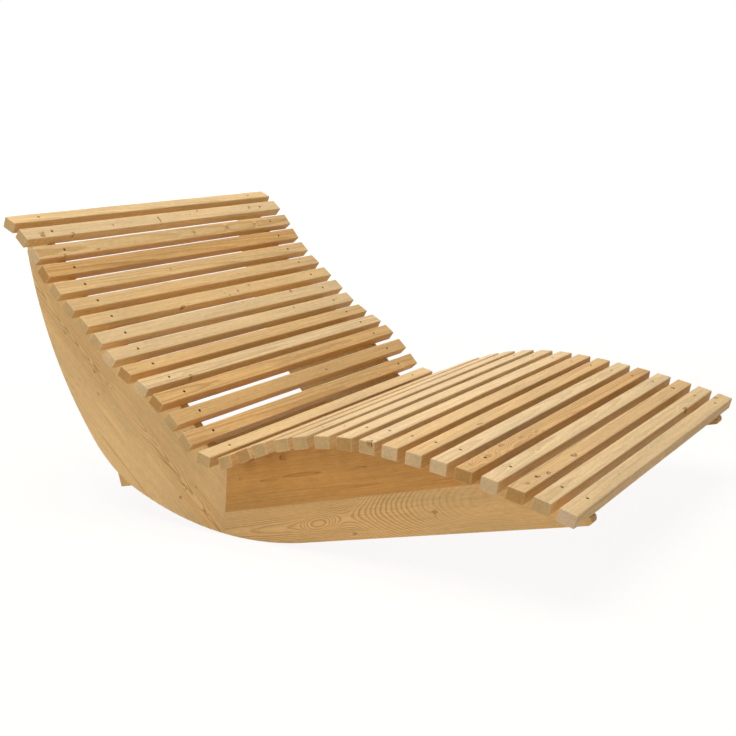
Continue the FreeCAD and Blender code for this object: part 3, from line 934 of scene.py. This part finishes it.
# %% Beech dowels
dowel_wood = softwood("dowel beech", own_place, tone=0.25, heart=(0.3, 0.0, 0.2),
                      ring_width=0.0016, taper=0.002, wander=0.002, seed=31.0, figure=0.35)
dowel_names = [name for name in nodes if "dowels" in name]
for name in dowel_names:
    dress(name, dowel_wood)
print("dowel groups:", len(dowel_names))

# %% [markdown]
# The screws are zinc plated. Their metal is painted dark, as painted shade for the dark
# countersunk holes they sit in, and it is only partly metallic, so that it doesn't sparkle. A brown bloom
# lies on it in patches, the same noise makes it unevenly rough, and a finer one gives it small pits.

# %% Zinc screws, painted dark for the shade in their holes
dark_painted_zinc = bpy.data.materials.new("zinc painted dark for hole shade")
dark_painted_zinc.use_nodes = True
dark_painted_zinc.node_tree.nodes.clear()
wires = Wiring(dark_painted_zinc.node_tree)
spot = own_place(wires)
bloom = wires.noise(spot, (900.0, 900.0, 900.0), 3.0)
pitted = wires.noise(spot, (5000.0, 5000.0, 400.0), 1.0)
# Painted shade: the plating colour is made dark to stand for the shade in the screw holes.
plating_painted_dark = (0.11, 0.080, 0.050, 1.0)
brown_bloom = (0.05, 0.030, 0.016, 1.0)
metal = wires.mix(wires.ramp(bloom, 0.42, 0.62), plating_painted_dark, brown_bloom)
dull = wires.math("MULTIPLY_ADD", bloom, 0.35, 0.32)
pits = wires.add("ShaderNodeBump", {"Height": pitted, "Strength": 0.25, "Distance": 0.0001})
shader = wires.add("ShaderNodeBsdfPrincipled", {"Base Color": metal, "Roughness": dull, "Metallic": 0.6,
                                                "Normal": pits.outputs[0]})
wires.add("ShaderNodeOutputMaterial", {"Surface": shader.outputs[0]})
for name in ("left_slat_screws", "right_slat_screws"):
    dress(name, dark_painted_zinc)
print("screws dressed")

# %% [markdown]
# ## Studio
# The lounger stands alone in white. More light would give a white background, but it
# would also bleach the wood. So the world has two faces: rays from the camera, and those
# that a shine or a glass sends on, see plain white, while all other rays meet a dimmer,
# warmer room, like light that came back from walls and wood.

# %% World
def seen_rays(wires):
    """1 for rays that end up in the picture as background or as its mirror image."""
    path = wires.add("ShaderNodeLightPath").outputs
    sent_on = wires.math("MAXIMUM", path["Is Glossy Ray"], path["Is Transmission Ray"])
    return wires.math("MAXIMUM", path["Is Camera Ray"], sent_on)


world = bpy.data.worlds.new("studio")
bpy.context.scene.world = world
world.use_nodes = True
world.node_tree.nodes.clear()
wires = Wiring(world.node_tree)
seen = seen_rays(wires)
room = wires.add("ShaderNodeBackground", {"Color": (1.0, 0.87, 0.67, 1.0), "Strength": 0.22})
white = wires.add("ShaderNodeBackground", {"Color": (1.0, 1.0, 1.0, 1.0), "Strength": 1.0})
choice = wires.add("ShaderNodeMixShader", {0: seen, 1: room.outputs[0], 2: white.outputs[0]})
wires.add("ShaderNodeOutputWorld", {"Surface": choice.outputs[0]})
print("world set")

# %% [markdown]
# One large softbox hangs overhead, a little to the near side, so the tops of the slats
# are brightest and their gaps stay dark. A weak one on each long side opens up the
# faces of the boards, from the front and from behind.

# %% Lamps
def add_softbox(name, place, target, size, watts, colour):
    """A square lamp that looks at a target."""
    lamp = bpy.data.lights.new(name, "AREA")
    lamp.size = size
    lamp.energy = watts
    lamp.color = colour
    made = bpy.data.objects.new(name, lamp)
    made.location = place
    made.rotation_euler = (Vector(target) - Vector(place)).to_track_quat("-Z", "Y").to_euler()
    bpy.context.scene.collection.objects.link(made)
    return made


add_softbox("overhead softbox", (0.2, -1.2, 6.0), (0.0, 0.0, 0.3), 4.5, 280, (1.0, 0.985, 0.97))
add_softbox("side softbox", (-1.8, -4.4, 1.5), (-0.5, 0.0, 0.5), 2.6, 40, (1.0, 0.96, 0.90))
add_softbox("back softbox", (-2.6, 4.4, 2.4), (-0.3, 0.0, 0.4), 2.6, 34, (1.0, 0.96, 0.90))
print("lamps set:", len(bpy.data.lights))

# %% [markdown]
# A floor that is only white paint would look grey, because no lamp lights it as brightly
# as the world behind it. So the floor glows a little for the rays that see it, and less
# near the middle, where its paint still has to show the lounger's soft shadow. For all
# other rays it is warm pale paint that throws light up under the slats.

# %% Floor
floor_mesh = bpy.data.meshes.new("floor")
reach = 40.0
floor_corners = [(-reach, -reach, 0), (reach, -reach, 0), (reach, reach, 0), (-reach, reach, 0)]
floor_mesh.from_pydata(floor_corners, [], [(0, 1, 2, 3)])
floor = bpy.data.objects.new("floor", floor_mesh)
bpy.context.scene.collection.objects.link(floor)
pale = bpy.data.materials.new("pale floor")
pale.use_nodes = True
pale.node_tree.nodes.clear()
wires = Wiring(pale.node_tree)
paint = wires.add("ShaderNodeBsdfDiffuse", {"Color": (0.74, 0.66, 0.54, 1.0)})
glow = wires.add("ShaderNodeEmission", {"Color": (1.0, 1.0, 1.0, 1.0), "Strength": 1.10})
glow_share = wires.ramp(wires.vector("LENGTH", own_place(wires)), 1.4, 5.0, 0.82, 1.0)
share = wires.math("MULTIPLY", seen_rays(wires), glow_share)
mixed = wires.add("ShaderNodeMixShader", {0: share, 1: paint.outputs[0], 2: glow.outputs[0]})
wires.add("ShaderNodeOutputMaterial", {"Surface": mixed.outputs[0]})
floor_mesh.materials.append(pale)
print("floor laid")

# %% [markdown]
# The camera stands low at the foot end, on the lounger's right, and is tipped a little
# to one side. Its place, its turn and its lens were worked out from the corners of the
# slats. A colour should come out of the picture as it was chosen, so the view transform
# is the plain one.

# %% Camera
eye = bpy.data.cameras.new("camera")
eye.lens = 54.399
eye.sensor_width = 36.0
camera = bpy.data.objects.new("camera", eye)
camera.location = (1.81907, -2.76101, 1.06733)
camera.rotation_euler = tuple(math.radians(angle) for angle in (78.5299, 2.7083, 33.1958))
bpy.context.scene.collection.objects.link(camera)
bpy.context.scene.camera = camera
bpy.context.scene.view_settings.view_transform = "Standard"
print("camera lens", eye.lens)
